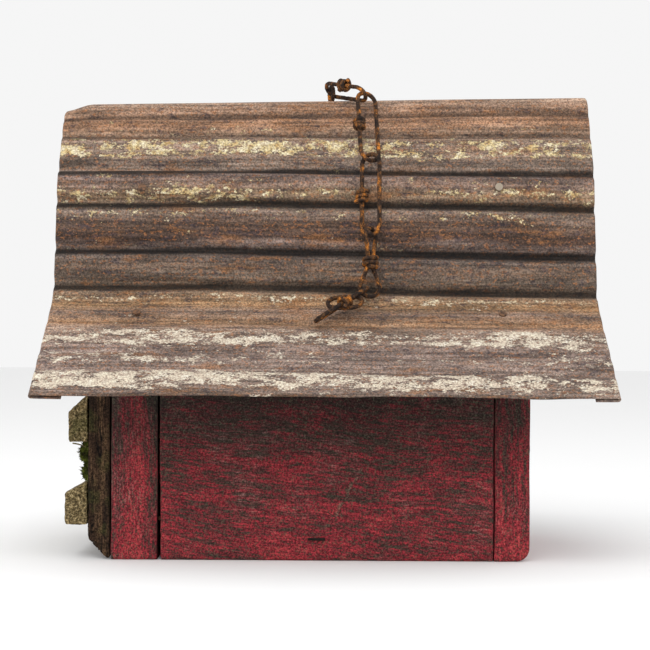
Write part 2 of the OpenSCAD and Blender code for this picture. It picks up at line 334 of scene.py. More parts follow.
def groove_depth(s):
    """How far the grooves sink the sheet at a distance s, less the lips they push up."""
    s /= mm
    total = 0
    for place, depth, width in grooves:
        across_it = (s - place) / width
        total += depth * (math.exp(-across_it ** 2) - lip * math.exp(-(abs(across_it) - 1.9) ** 2))
    return mm * max(0.0, total + 0.25)


def lift(s, x):
    """The ridge climbs towards the back, and its front corner is bent down."""
    crown = 1 - ease(s / (120 * mm))
    corner = (1 - ease(s / (30 * mm))) * ease((-x - half_length + 16 * mm) / (16 * mm))
    return crown * ridge_rise / 2 * x / half_length - 4 * mm * corner


def sheet_point(signed_s, x, height):
    """A point on the sheet, height above its upper skin; signed_s > 0 is the near slope."""
    s = abs(signed_s)
    side = -1 if signed_s > 0 else 1
    fall = slope(s)
    dent = (noise.noise(Vector((x * 14, signed_s * 30, 1.3))) - 0.4) * 0.9 * mm
    rise = height - groove_depth(s - wander(s, x)) + dent * ease(s / (12 * mm))
    y, z = on_line(s) + Vector((math.sin(fall), math.cos(fall))) * rise
    return Vector((x, side * y, z + lift(s, x)))


front_corner = sheet_point(sheet_reach, -half_length, 0)
print("near front corner of the eave", [round(v / mm, 1) for v in front_corner])

# %% [markdown]
# ## Bands of rust and paint
# Old paint survives on the crests and the flare, and rust takes the rest. The finish is painted
# in bands that follow the grooves. One table gives the rust's colour in each band, by the
# distance from the ridge in millimetres, with painted shade in the dark bands of the steep slope
# between the knee and the flare. Another says how much cream paint is left there, and a third
# how much painted shade darkens each groove.

# %% Bands
# Rust colour by band; the dark bands from 87 to 122 mm, on the steep slope, also hold painted
# shade.
rust_and_shade_bands = [
    (0, (160, 138, 122)), (7, (152, 128, 110)), (14, (134, 108, 90)), (20, (124, 98, 80)),
    (25, (142, 108, 84)), (30, (144, 118, 98)), (38, (126, 108, 96)), (47, (122, 104, 90)),
    (51, (98, 84, 74)), (55, (124, 108, 96)), (61, (100, 86, 80)), (67, (122, 102, 90)),
    (73, (116, 96, 76)), (82, (122, 106, 94)), (87, (98, 82, 72)), (91, (80, 64, 54)),
    (99, (68, 52, 44)), (103, (122, 106, 98)), (109, (100, 88, 80)), (116, (98, 82, 70)),
    (122, (92, 80, 70)), (131, (122, 102, 84)), (139, (142, 112, 82)), (147, (118, 100, 88)),
    (157, (138, 108, 82)), (164, (136, 116, 102)), (185, (120, 104, 96)), (224, (120, 104, 94)),
    (228, (86, 68, 56))]
paint_left = [
    (0, 0.45), (15, 0.05), (29, 0.3), (33, 0.15), (35, 0.7), (40, 0.95), (47, 0.85),
    (51, 0.05), (66, 0.3), (71, 0.72), (76, 0.5), (80, 0.1), (83, 0.6), (88, 0.35), (92, 0.0),
    (103, 0.3), (110, 0.0), (131, 0.15), (134, 0.85), (137, 0.5), (143, 0.12), (162, 0.25),
    (168, 0.85), (177, 0.95), (182, 0.25), (191, 0.6), (196, 0.6), (201, 0.1), (207, 1.0),
    (218, 1.0), (223, 0.3)]
# Painted shade in each groove, where the crest above it shades it.
groove_painted_shade = [(19, 0.55, 1.6), (33, 0.5, 1.8), (58, 0.85, 1.9), (79, 0.88, 2.2),
               (106.5, 0.9, 2.4), (127.5, 0.85, 2.2)]     # place, darkness, half width
reach_mm = sheet_reach / mm
print(len(rust_and_shade_bands), "rust bands,", len(paint_left), "paint bands")

# %% [markdown]
# ## Bare rust
# Rust isn't one brown. Broad stains and fine streaks along the ridge make its bands lighter and
# darker, and three kinds of spot lie over them: orange specks, orange bloom and dark scale.

# %% Bare rust
rust_spots = [  # grain, shift, detail, roughness, starts at, full at, strength, colour
    ((420, 640, 640), (2, 6, 3), 3, 0.7, 0.55, 0.62, 0.55, (152, 98, 58)),
    ((30, 110, 110), (3, 1, 7), 6, 0.68, 0.53, 0.66, 0.5, (142, 96, 58)),
    ((150, 300, 300), (9, 2, 4), 5, 0.75, 0.52, 0.64, 0.65, (58, 50, 56))]


def rust_and_shade_colour(rust, down):
    # the band colours carry painted shade on the steep slope below the knee
    colour = rust.ramp(down, [(s / reach_mm, paint(*c)) for s, c in rust_and_shade_bands])
    stains = rust.between(rust.cloud(rust.place((26, 60, 60)), 1, 5, 0.62), 0.34, 0.66)
    colour = overlay(rust, colour, stains, 0.5, 0.24)
    lines = rust.between(rust.cloud(rust.place((16, 420, 420)), 1, 3, 0.6), 0.36, 0.64)
    colour = overlay(rust, colour, lines, 0.8, 0.23)
    for grain, shift, detail, rough, start, full, strength, tone in rust_spots:
        noise_value = rust.cloud(rust.place(grain, shift=shift), 1, detail, rough)
        spot = rust.sum("MULTIPLY", rust.between(noise_value, start, full), strength)
        colour = rust.mix(spot, colour, paint(*tone))
    return colour


print(len(rust_spots), "kinds of rust spot")

# %% [markdown]
# ## Flaking paint and painted groove shade
# Paint is left where a fine noise, helped by its band's share, rises past a limit. That gives
# flakes with crisp edges. They thin out towards the back, and are whiter below the knee, which is
# painted light on the flare that faces up. Painted shade darkens the sheet close to each groove.

# %% Flaking paint
def cream_left(rust, down, along):
    left = rust.ramp(down, [(s / reach_mm, float(c)) for s, c in paint_left])
    thinning = rust.between(along, -0.12, 0.14, 1.06, 0.94, smooth=False)
    patch = rust.cloud(rust.place((12, 40, 40), shift=(5, 5, 5)), 1, 3, 0.5)
    coarse = rust.cloud(rust.place((110, 210, 210), shift=(1, 8, 2)), 1, 4, 0.6)
    fine = rust.cloud(rust.place((620, 800, 800)), 1, 3, 0.7)
    flake = rust.sum("ADD", rust.sum("MULTIPLY", coarse, 0.58),
                     rust.sum("MULTIPLY", fine, 0.42))
    cover = rust.sum("ADD", rust.sum("MULTIPLY", rust.sum("MULTIPLY", left, thinning), 0.21),
                     rust.sum("MULTIPLY", patch, 0.2))
    return rust.between(rust.sum("ADD", flake, cover), 0.765, 0.81)


def cream_tint(rust, exact):
    tint = rust.ramp(rust.cloud(rust.place((240, 240, 240)), 1, 3),
                     [(0.35, paint(164, 134, 88)), (0.5, paint(184, 166, 124)),
                      (0.65, paint(206, 194, 166))])
    # painted light: the cream is whiter on the flare below the knee, which faces up to the light
    flare_painted_light = rust.between(exact, 120 * mm, 150 * mm, 0.0, 0.6)
    return rust.mix(flare_painted_light, tint, paint(206, 196, 186))


# Painted shade: a factor that darkens the colour close to each groove.
def groove_shade_factor(rust, exact):
    unshaded_part = 1.0
    for place, darkness, half in groove_painted_shade:
        off = rust.sum("ABSOLUTE", rust.sum("SUBTRACT", exact, place * mm))
        keep = rust.between(off, half * 0.35 * mm, half * 1.7 * mm, 1 - darkness, 1.0)
        unshaded_part = rust.sum("MULTIPLY", unshaded_part, keep)
    return unshaded_part


# The darkness in the grooves is painted shade.
print(len(groove_painted_shade), "grooves hold dirt")

# %% [markdown]
# ## The rusty sheet's finish
# The bands must follow the bent sheet, so the finish reads the sheet's own UV map: U is the
# place along the ridge and V the distance from the ridge, both in metres. The bands stray a
# little to each side, so that their edges aren't ruled lines.

# %% Rusty sheet
def sheet_finish():
    rust = Finish("rusty_sheet", roughness=0.8, specular=0.25)
    flat = rust.node("ShaderNodeSeparateXYZ", {"Vector": rust.place(source="UV")})
    exact = rust.sum("ABSOLUTE", flat.outputs["Y"])
    stray = rust.sum("MULTIPLY", rust.cloud(rust.place((22, 60, 60)), 1, 3), 9 * mm)
    down = rust.sum("ADD", exact, rust.sum("SUBTRACT", stray, 4.5 * mm))
    down = rust.sum("DIVIDE", down, sheet_reach)
    cream = cream_left(rust, down, flat.outputs["X"])
    colour = rust.mix(cream, rust_and_shade_colour(rust, down), cream_tint(rust, exact))
    # painted shade in the grooves multiplies the colour
    colour = rust.mix(1.0, colour, groove_shade_factor(rust, exact), "MULTIPLY")
    grit = rust.cloud(rust.place((900, 900, 900)), 1, 3, 0.75)
    colour = overlay(rust, colour, rust.between(grit, 0.38, 0.62), 0.6, 0.38)
    height = rust.sum("ADD", rust.sum("MULTIPLY", cream, 0.4),
                      rust.sum("MULTIPLY", grit, 1.2))
    return rust.done(colour, height, 0.45 * mm, rust.between(cream, 0, 1, 0.86, 0.6))


sheet_material = sheet_finish()
print("finish", sheet_material.name)

# %% [markdown]
# ## The roof sheet
# A flat grid is the natural start for sheet metal: its columns run along the ridge and its rows
# from eave to eave, and bending it is one move for each vertex. The outer columns are folded
# under to make the hems, as the tinsmith does. A Solidify pass then gives the sheet its gauge.

# %% Columns of the sheet
sheet_gauge = 0.9 * mm
fold_radius = 1.5 * mm
hems = (15.5 * mm, 11.5 * mm)           # width of the folded strip: front, back
body_columns = 84
fold_columns = 5
hem_columns = 3
sheet_rows = 470


def across():
    """The sheet's columns as (place along the ridge, height), from one hem to the other."""
    flat_end = half_length - fold_radius
    columns = []
    for side, hem in ((-1, hems[0]), (1, hems[1])):
        strip = [(side * (flat_end - hem * (1 - i / hem_columns)), -2 * fold_radius)
                 for i in range(hem_columns)]
        bend = [(side * (flat_end + fold_radius * math.sin(math.pi * i / fold_columns)),
                 -fold_radius * (1 + math.cos(math.pi * i / fold_columns)))
                for i in range(fold_columns)]
        columns.append(strip + bend)
    top = [(flat_end * (2 * i / body_columns - 1), 0) for i in range(body_columns + 1)]
    return columns[0] + top + columns[1][::-1]


print(len(across()), "columns from hem to hem")

# %% [markdown]
# The grid's vertices are moved one by one to their place on the bent surface. Each keeps its flat
# place as UV, so the finish can follow the sheet. Noise makes the eaves a little ragged.

# %% Roof sheet
def roof_sheet():
    columns = across()
    shape = bmesh.new()
    bmesh.ops.create_grid(shape, x_segments=len(columns) - 1, y_segments=sheet_rows, size=0.5)
    lay = shape.loops.layers.uv.new("sheet")
    flat = {}
    for vert in shape.verts:
        column = round((vert.co.x + 0.5) * (len(columns) - 1))
        row = vert.co.y * 2
        x, height = columns[column]
        ragged = (noise.noise(Vector((x * 40, row * 5, 0))) - 0.5) * 0.9 * mm
        signed_s = row * (sheet_reach + ragged * abs(row) ** 8)
        flat[vert] = (x, signed_s - math.copysign(wander(abs(signed_s), x), signed_s))
        vert.co = sheet_point(signed_s, x, height)
    for face in shape.faces:
        for corner in face.loops:
            corner[lay].uv = flat[corner.vert]
    bmesh.ops.recalc_face_normals(shape, faces=shape.faces)
    up = max(shape.faces, key=lambda face: face.calc_center_median().z)
    if up.normal.z < 0:
        bmesh.ops.reverse_faces(shape, faces=shape.faces)
    piece = finish_piece("roof_sheet_bent", shape, "house", sheet_material,
                         ["roof_sheet"])
    gauge = piece.modifiers.new("gauge", "SOLIDIFY")
    gauge.thickness = sheet_gauge
    gauge.offset = -1


roof_sheet()

# %% [markdown]
# ## Wood finishes
# Rough-sawn boards show grain as long streaks, so the noise is stretched along the board. The
# place it reads is first pushed about by a slow noise, and swirled round a few knots, because
# grain bends round them. Each board's grain runs its own way: level on the side panels,
# upright on the end boards.

# %% Grain
def bent_grain(finish, seed, tilt=0.0, knots=0.0):
    """Places in metres, pushed about, with how near a knot is: (vector, 0 to 1)."""
    flat = finish.place(turn=(0, tilt, 0), shift=(seed * 0.1, 0, seed * 0.07))
    slow = finish.node("ShaderNodeTexNoise", {"Vector": flat, "Scale": 14, "Detail": 2})
    push = finish.node("ShaderNodeVectorMath", {0: slow.outputs["Color"],
                                                1: (10 * mm, 10 * mm, 10 * mm)},
                       operation="MULTIPLY").outputs[0]
    knot = finish.between(finish.cells(flat, 13), 0.30, 0.0)
    swirl = finish.node("ShaderNodeVectorMath", {0: (1, 1, 1), "Scale": finish.sum(
        "MULTIPLY", knot, knots * 8 * mm)}, operation="SCALE").outputs[0]
    total = finish.node("ShaderNodeVectorMath", {0: flat, 1: push}, operation="ADD").outputs[0]
    total = finish.node("ShaderNodeVectorMath", {0: total, 1: swirl},
                        operation="ADD").outputs[0]
    return total, knot


def stretched(finish, where, along, fine, length):
    """The same places with detail fine across the grain and length times longer along it."""
    scale = [fine, fine, fine]
    scale[along] = fine / length
    return finish.node("ShaderNodeMapping", {"Vector": where, "Scale": scale}).outputs["Vector"]


def speckle(finish, colour, amount=0.8, size=1000):
    """Lightens and darkens a colour in fine grains; also gives the grains' height."""
    grain = finish.cloud(finish.place((size, size, size)), 1, 2, 0.8)
    return overlay(finish, colour, finish.between(grain, 0.36, 0.64), amount, 0.38), grain


print("grain helpers ready")

# %% [markdown]
# A long slanting scratch crosses the near panel. Its middle, length and slant place a straight
# line on the board, and noise makes the line waver and breaks it up.

# %% Scratch
def scratch(wood):
    """A long slanting scratch on the near panel."""
    middle_x, middle_z, slant = 12.5 * mm, 36 * mm, math.radians(59)
    x = wood.sum("SUBTRACT", wood.axis("X"), middle_x)
    z = wood.sum("SUBTRACT", wood.axis("Z"), middle_z)
    run = wood.sum("ADD", wood.sum("MULTIPLY", x, math.cos(slant)),
                   wood.sum("MULTIPLY", z, math.sin(slant)))
    off = wood.sum("SUBTRACT", wood.sum("MULTIPLY", x, math.sin(slant)),
                   wood.sum("MULTIPLY", z, math.cos(slant)))
    waver = wood.sum("MULTIPLY", wood.sum("SUBTRACT", wood.cloud(
        wood.place((90, 90, 90)), 1, 2), 0.5), 5 * mm)
    off = wood.sum("ABSOLUTE", wood.sum("ADD", off, waver))
    thin = wood.between(off, 1.3 * mm, 0.4 * mm)
    ends = wood.between(wood.sum("ABSOLUTE", run), 23 * mm, 17 * mm)
    broken = wood.between(wood.cloud(wood.place((260, 260, 260)), 1, 3), 0.42, 0.56)
    near = wood.between(wood.axis("Y"), 0.0, -10 * mm)
    return wood.sum("MULTIPLY", wood.sum("MULTIPLY", thin, near),
                    wood.sum("MULTIPLY", ends, broken))


print("scratch helper ready")

# %% [markdown]
# ## Red boards
# Thin barn paint has worn off the ridges of the grain, down to grey-green wood. Three noises of
# different fineness add up to the paint's strength at each place, and a ramp turns that into
# wood, thin paint and full paint. Towards the eave the boards are darkened by painted shade of
# the eave, together with soot and damp.

# %% Red boards
def red_finish(name, along, seed, tilt=0.0, knots=0.0, paint_amount=0.0, scratched=False,
               bright_x=None):
    wood = Finish(name, roughness=0.86, specular=0.25)
    where, knot = bent_grain(wood, seed, tilt, knots)
    streak = wood.cloud(stretched(wood, where, along, 520, 9), 1, 5, 0.62)
    broad = wood.cloud(stretched(wood, where, along, 90, 4), 1, 4, 0.6)
    fine = wood.cloud(stretched(wood, where, along, 1300, 7), 1, 3, 0.7)
    field = wood.sum("ADD", wood.sum("MULTIPLY", streak, 0.40),
                     wood.sum("ADD", wood.sum("MULTIPLY", broad, 0.22),
                              wood.sum("MULTIPLY", fine, 0.38)))
    # paint thins out with height, so the boards darken towards the eave: painted shade of the eave
    height_now = wood.axis("Z")
    field = wood.sum("ADD", field, wood.between(height_now, 0, 100 * mm, 0.035, -0.035, False))
    field = wood.sum("ADD", field, paint_amount)
    if bright_x is not None:             # paint lasts longest along the middle of the edge
        aside = wood.sum("ABSOLUTE", wood.sum("SUBTRACT", wood.axis("X"), bright_x))
        field = wood.sum("ADD", field, wood.between(aside, 4 * mm, 12 * mm, 0.03, -0.06))
    colour = wood.ramp(wood.between(field, 0.38, 0.62, smooth=False),
                       [(0.0, paint(42, 38, 30)), (0.30, paint(62, 46, 40)),
                        (0.48, paint(88, 38, 40)), (0.66, paint(118, 34, 42)),
                        (0.85, paint(140, 40, 48)), (1.0, paint(152, 56, 58))])
    pale = wood.between(wood.cloud(wood.place((34, 34, 34), shift=(seed, 7, 1)), 1, 5, 0.6),
                        0.52, 0.66)
    fibres = wood.between(fine, 0.5, 0.62)
    colour = wood.mix(wood.sum("MULTIPLY", wood.sum("MULTIPLY", pale, fibres), 0.55), colour,
                      paint(112, 104, 96))
    colour = wood.mix(wood.sum("MULTIPLY", knot, knots * 0.8), colour, paint(44, 30, 28))
    # painted shade of the eave, together with soot and damp, under the eave
    eave_shade_and_soot = wood.between(height_now, 45 * mm, 98 * mm)
    blotch = wood.between(wood.cloud(wood.place((40, 40, 40), shift=(1, seed, 3)), 1, 4),
                          0.3, 0.6, 0.45, 1.0)
    colour = wood.mix(wood.sum("MULTIPLY", wood.sum("MULTIPLY", eave_shade_and_soot, blotch), 0.9), colour,
                      paint(34, 24, 22))
    if scratched:
        colour = wood.mix(wood.sum("MULTIPLY", scratch(wood), 0.7), colour, paint(98, 88, 74))
    # grey-green weathered grains among the paint
    bare = wood.between(wood.cloud(wood.place((700, 700, 700), shift=(seed, 0, 0)), 1, 2, 0.7),
                        0.54, 0.60)
    colour = wood.mix(wood.sum("MULTIPLY", bare, 0.65), colour, paint(66, 66, 52))
    colour, grain = speckle(wood, colour, 0.8)
    height = wood.sum("ADD", wood.sum("MULTIPLY", streak, 1.2),
                      wood.sum("ADD", wood.sum("MULTIPLY", grain, 0.6),
                               wood.sum("MULTIPLY", knot, -0.6 * knots)))
    return wood.done(colour, height, 0.7 * mm)


print("red board helper ready")

# %% [markdown]
# ## Bare boards
# The facade, the ledges and the floor were never painted, or lost it long ago. One finish with
# three tones, green growth and a choice of cracks serves them all.

# %% Bare boards
def bare_finish(name, along, seed, dark, middle_tone, light, fine=420, length=14, green=0.5,
                cracks=0.0):
    wood = Finish(name, roughness=0.92, specular=0.15)
    where, knot = bent_grain(wood, seed, 0.0, 0.5)
    streak = wood.cloud(stretched(wood, where, along, fine, length), 1, 6, 0.7)
    colour = wood.ramp(wood.between(streak, 0.34, 0.66, smooth=False),
                       [(0.0, paint(*dark)), (0.5, paint(*middle_tone)), (1.0, paint(*light))])
    growth = wood.between(wood.cloud(wood.place((60, 60, 60), shift=(4, 4, 4)), 1, 4, 0.6),
                          0.5, 0.66)
    colour = wood.mix(wood.sum("MULTIPLY", growth, green), colour, paint(66, 70, 34))
    crack = wood.between(wood.sum("ABSOLUTE", wood.sum("SUBTRACT", wood.cloud(
        stretched(wood, where, along, 150, 12), 1, 2), 0.5)), 0.0, 0.012, 1.0, 0.0)
    colour = wood.mix(wood.sum("MULTIPLY", crack, cracks), colour, paint(14, 10, 8))
    colour, grain = speckle(wood, colour, 0.85)
    height = wood.sum("ADD", wood.sum("MULTIPLY", streak, 1.3),
                      wood.sum("ADD", wood.sum("MULTIPLY", grain, 0.6),
                               wood.sum("MULTIPLY", crack, -0.8 * cracks)))
    return wood.done(colour, height, 0.9 * mm)


print("bare board helper ready")

# %% [markdown]
# Boards that grew apart don't match, so each finish has its own seed. The number after its name
# is the axis that the grain runs along, 0 for X, 1 for Y and 2 for Z, and the next is the seed.

# %% Wood finishes
side_red = red_finish("red_side_board", 0, 1.7, math.radians(-6), 0.7, 0.005, scratched=True)
front_red = red_finish("red_front_board", 2, 4.1, 0.0, 0.3, 0.03, bright_x=-106 * mm)
back_red = red_finish("red_back_board", 2, 8.3, 0.0, 0.0, 0.045)
facade_dark = bare_finish("dark_old_board", 2, 2.2, (18, 13, 10), (52, 37, 27), (92, 70, 50),
                          green=0.35, cracks=1.0)
ledge_tan = bare_finish("bare_ledge", 1, 5.5, (54, 43, 28), (116, 100, 68), (172, 154, 116), 700)
floor_wood = bare_finish("bare_floor", 0, 3.3, (80, 62, 44), (120, 98, 70), (150, 128, 96))
print("wood finishes ready")

# %% [markdown]
# ## Worn boards
# A new board would be six flat faces. These have rounded edges, a surface that follows the
# grain and nibbled corners. Each starts as a copy of its CAD board, a voxel Remesh turns it
# into an even skin, and every vertex then sinks by a noise that is long in the grain's
# direction. Sinking only keeps the board inside its true size.

# %% Worn copies
def worn_copy(name, nodes, body, material, voxel, wear):
    """One piece made from CAD nodes, remeshed, with wear(place, normal) as the depth lost."""
    shape = bmesh.new()
    for node in nodes:
        shape.from_mesh(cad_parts[node].data)
    bmesh.ops.remove_doubles(shape, verts=shape.verts, dist=1e-6)
    rough = bpy.data.meshes.new(name)
    shape.to_mesh(rough)
    shape.free()
    block = bpy.data.objects.new(name, rough)
    bpy.context.scene.collection.objects.link(block)
    skin = block.modifiers.new("skin", "REMESH")
    skin.mode = "VOXEL"
    skin.voxel_size = voxel
    ready = block.evaluated_get(bpy.context.evaluated_depsgraph_get())
    shape = bmesh.new()
    shape.from_mesh(ready.data)
    bpy.data.objects.remove(block)
    shape.normal_update()
    moves = [(vert, vert.normal * -wear(vert.co, vert.normal)) for vert in shape.verts]
    for vert, move in moves:
        vert.co += move
    return finish_piece(name, shape, body, material, nodes)


def grain_wear(along, depth, fine=260, seed=0.0, waves=0.0):
    """Wear in long furrows along one axis, and in broad waves."""
    def wear(place, normal):
        where = Vector(place) * fine
        where[along] /= 16
        where += Vector((seed, seed * 2, seed * 3))
        furrow = noise.fractal(where, 0.9, 2.0, 3)
        broad = noise.noise(Vector(place) * 30 + Vector((seed, 0, 0)))
        wave = max(0.0, noise.noise(Vector(place) * 24 + Vector((0, seed, 0))))
        return depth * max(0.0, 0.45 + 0.5 * furrow + 0.35 * broad) + waves * wave
    return wear


print("wear helpers ready")

# %% [markdown]
# The four red boards follow. The back board has lost the most, so it gets broad waves as well.

# %% Box boards
voxel = 1.15 * mm
worn_copy("near_side_board", ["near_side_wall"], "house", side_red, voxel,
          grain_wear(0, 0.5 * mm, 260, 1.0))
worn_copy("far_side_board", ["far_side_wall"], "house", side_red, voxel,
          grain_wear(0, 0.5 * mm, 260, 5.0))
worn_copy("front_board", ["front_wall"], "house", front_red, voxel,
          grain_wear(2, 0.5 * mm, 260, 2.0))
worn_copy("back_board", ["back_wall"], "house", back_red, voxel,
          grain_wear(2, 0.4 * mm, 200, 3.0, waves=0.9 * mm))

# %% [markdown]
# The facade board is the oldest one. Its grain is deep, and rot has eaten the lower edge in
# lumps, so its wear grows towards that edge.

# %% Facade
facade_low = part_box("facade_board")[0]


def facade_wear(place, normal):
    grain = grain_wear(2, 1.1 * mm, 240, 7.0)(place, normal)
    near_edge = ease((40 * mm - place.z) / (34 * mm)) * ease(
        (facade_low.x + 12 * mm - place.x) / (10 * mm))
    lumps = 0.35 + noise.fractal(Vector(place) * 210, 0.8, 2.0, 3)
    return grain + near_edge * 2.6 * mm * max(0.0, lumps)


worn_copy("facade", ["facade_board"], "house", facade_dark, 1.1 * mm, facade_wear)

# %% [markdown]
# The ledges are bare strips of softer wood. Crumbs have broken out of their sawn ends, so the
# wear is deepest where a face points along Y. The floor is hardly worn at all.

# %% Ledges and floor
def ledge_wear(seed):
    furrows = grain_wear(1, 0.7 * mm, 300, seed)

    def wear(place, normal):
        crumbs = max(0.0, 0.3 + noise.fractal(Vector(place) * 420, 0.9, 2.0, 2))
        return furrows(place, normal) + crumbs * 0.7 * mm * abs(normal.y)
    return wear


worn_copy("upper_ledge_strip", ["upper_ledge"], "house", ledge_tan, 0.8 * mm,
          ledge_wear(4.0))
worn_copy("lower_ledge_strip", ["lower_ledge"], "house", ledge_tan, 0.8 * mm,
          ledge_wear(9.0))
worn_copy("floor_panel", ["floor_board"], "house", floor_wood, 2.5 * mm,
          grain_wear(0, 0.4 * mm, 200, 6.0))

# %% [markdown]
# ## Rusty wire
# The chain is the knotted kind that is made on a machine: each link is one length of wire bent
# into a long loop, and its two ends are wound round one leg. The rust is dark, with bright
# orange where it is fresh.

# %% Wire finish
def wire_finish():
    rust = Finish("rusty_wire", roughness=0.82, specular=0.25)
    patch = rust.cloud(rust.place((190, 190, 190)), 1, 4, 0.65)
    colour = rust.ramp(rust.between(patch, 0.34, 0.66, smooth=False),
                       [(0.0, paint(24, 17, 14)), (0.38, paint(48, 33, 24)),
                        (0.58, paint(84, 56, 32)), (0.80, paint(128, 80, 36)),
                        (1.0, paint(184, 112, 38))])
    colour, grain = speckle(rust, colour, 0.85, 1500)
    return rust.done(colour, grain, 0.5 * mm)


wire_rust = wire_finish()
print("finish", wire_rust.name)

# %% [markdown]
# ## How the links lie
# The chain comes out of the ridge and lies down the near slope. A table gives the middles of each
# link's round ends in millimetres, its half width, its turn and which way is off the roof. Each
# link is drawn in a frame of its own, and placed with one matrix.

# %% How the links lie
wire_radius = 1.25 * mm
links = [  # middles of the upper and lower round ends, half width, turn (degrees), away from roof
    ((4, -4, 270), (19, -17.5, 266), 4.8, 60, (0, -0.3, 1)),
    ((23.5, -18.5, 261.5), (25, -38, 229.5), 5.75, 25, (0, -0.8, 0.6)),
    ((25.5, -41, 222.5), (25.5, -50, 186.5), 5.75, -32, (0, -1, 0.2)),
    ((25.5, -52, 179.5), (25, -57, 152), 5.75, 60, (0, -1, 0.2)),
    ((20.5, -58, 149), (-2, -77, 134.5), 3.7, 128, (0, -0.6, 0.8))]
low_turn = 7                            # of the twisted link's lower end
arc_points = 16


def hang(top, low, away):
    """The frame of a link: -Z runs to its lower end and Y points away from the roof."""
    top, low = Vector(top) * mm, Vector(low) * mm
    up = (top - low).normalized()
    out = (Vector(away) - Vector(away).dot(up) * up).normalized()
    frame_of_link = Matrix((out.cross(up), out, up)).transposed().to_4x4()
    return Matrix.Translation((top + low) / 2) @ frame_of_link, (top - low).length


def turned(points, degrees):
    return [Matrix.Rotation(math.radians(degrees), 3, "Z") @ point for point in points]


print(len(links), "links")

# %% [markdown]
# ## Loops and windings
# A link is a long loop: two round ends and two legs. The fourth has a waist, where its legs
# cross. The ends of every link's wire are wound round a leg, so a coil is drawn as well.

# %% Loops and windings
def half_loop(height, half_width):
    """A round end, from the right leg over to the left one."""
    return [Vector((half_width * math.cos(math.pi * i / arc_points), 0,
                    height + half_width * math.sin(math.pi * i / arc_points)))
            for i in range(arc_points + 1)]


def long_loop(length, half_width, waist=None, top_turn=0, bottom_turn=0):
    """A closed loop. With a waist its legs cross from one turn to the other through it."""
    top = turned(half_loop(length / 2, half_width), top_turn)
    bottom = turned([Vector((-p.x, 0, -p.z)) for p in half_loop(length / 2, half_width)],
                    bottom_turn)
    sides = [[top[-1].lerp(bottom[0], t) for t in (0.33, 0.67)],
             [bottom[-1].lerp(top[0], t) for t in (0.33, 0.67)]]
    if waist:
        middle = turned([Vector((waist, 0, 0))], (top_turn + bottom_turn) / 2)[0]
        rise = Vector((0, 0, 2 * mm))
        sides = [[-middle + rise, -middle - rise], [middle - rise, middle + rise]]
    return top + sides[0] + bottom + sides[1]


def winding(x, radius, turns, pitch, tail, start=0.0):
    """A coil round a leg at x, with a straight tail at each end."""
    steps = int(turns * 18)
    angles = [start + math.tau * turns * i / steps for i in range(steps + 1)]
    points = [Vector((x + radius * math.cos(a), radius * math.sin(a),
                      pitch * turns * (i / steps - 0.5))) for i, a in enumerate(angles)]
    first = (points[0] - points[1]).normalized()
    last = (points[-1] - points[-2]).normalized()
    return [points[0] + first * tail] + points + [points[-1] + last * tail]


print(len(long_loop(20 * mm, 5 * mm)), "points in a plain loop")

# %% [markdown]
# ## From line to wire
# Wire is what a curve with a round bevel is for: a path of points gives the bent wire directly,
# coils and all. Once the curve is a mesh, long faces are cut up, and noise swells and pits them.

# %% From line to wire
def wire_piece(name, runs, body, stands_for):
    """One mesh from several runs of wire: (points, closed)."""
    curve = bpy.data.curves.new(name, "CURVE")
    curve.dimensions = "3D"
    curve.bevel_depth = wire_radius
    curve.bevel_resolution = 3
    curve.use_fill_caps = True
    for points, closed in runs:
        run = curve.splines.new("POLY")
        run.points.add(len(points) - 1)
        for knot, place in zip(run.points, points):
            knot.co = (*place, 1)
        run.use_cyclic_u = closed
    drawn = bpy.data.objects.new(name, curve)
    bpy.context.scene.collection.objects.link(drawn)
    ready = drawn.evaluated_get(bpy.context.evaluated_depsgraph_get())
    shape = bmesh.new()
    shape.from_mesh(ready.to_mesh())
    bpy.data.objects.remove(drawn)
    bmesh.ops.remove_doubles(shape, verts=shape.verts, dist=1e-6)
    long_edges = [edge for edge in shape.edges if edge.calc_length() > 1.2 * mm]
    bmesh.ops.subdivide_edges(shape, edges=long_edges, cuts=6, use_grid_fill=True)
    shape.normal_update()
    for vert in shape.verts:
        vert.co += vert.normal * 0.16 * mm * noise.fractal(vert.co * 700, 0.9, 2.0, 2)
    return finish_piece(name, shape, body, wire_rust, stands_for)


print("wire helper ready")

# %% [markdown]
# ## The chain
# Each link rides on a body of its own. The last one also has a loose turn of wire, tipped aside.

# %% Chain
for number, (top, low, half_width, turn, away) in enumerate(links, start=1):
    place, length = hang(top, low, away)
    half_width *= mm
    if number == 4:
        runs = [(long_loop(length, half_width, 1.4 * mm, turn, low_turn), True),
                (winding(0, 3.5 * mm, 2.3, 2.6 * mm, 2.5 * mm, 2.0), False)]
    else:
        runs = [(turned(long_loop(length, half_width), turn), True),
                (turned(winding(half_width, 2.6 * mm, 2.3, 2.6 * mm, 2.2 * mm, 1.2), turn),
                 False)]
    if number == 5:
        aside = (Matrix.Translation((0, 0, length * 0.08))
                 @ Matrix.Rotation(math.radians(-50), 4, "Y")
                 @ Matrix.Rotation(math.radians(-6), 4, "X"))
        runs.append(([aside @ p for p in long_loop(9 * mm, 5 * mm)], True))
    runs = [([place @ point for point in points], closed) for points, closed in runs]
    wire_piece(f"wire_link_{number}", runs, f"link_{number}", [f"chain_link_{number}"])

# %% [markdown]
# The eye in the ridge keeps its CAD shape, with a crust of rust eaten into it.

# %% Ridge eye
def crust(place, normal):
    return 0.16 * mm * (0.6 + noise.fractal(Vector(place) * 900, 0.9, 2.0, 2))


worn_copy("ridge_eye", ["hanger_eye"], "house", wire_rust, 0.33 * mm, crust)

# %% [markdown]
# ## Nails, staples and the hanger's nut
# Rusted steel is brown and dull. One roof nail is newer than the rest, but they share a part, so
# the bright metal comes from the place of its head. The staples are blackened wire.

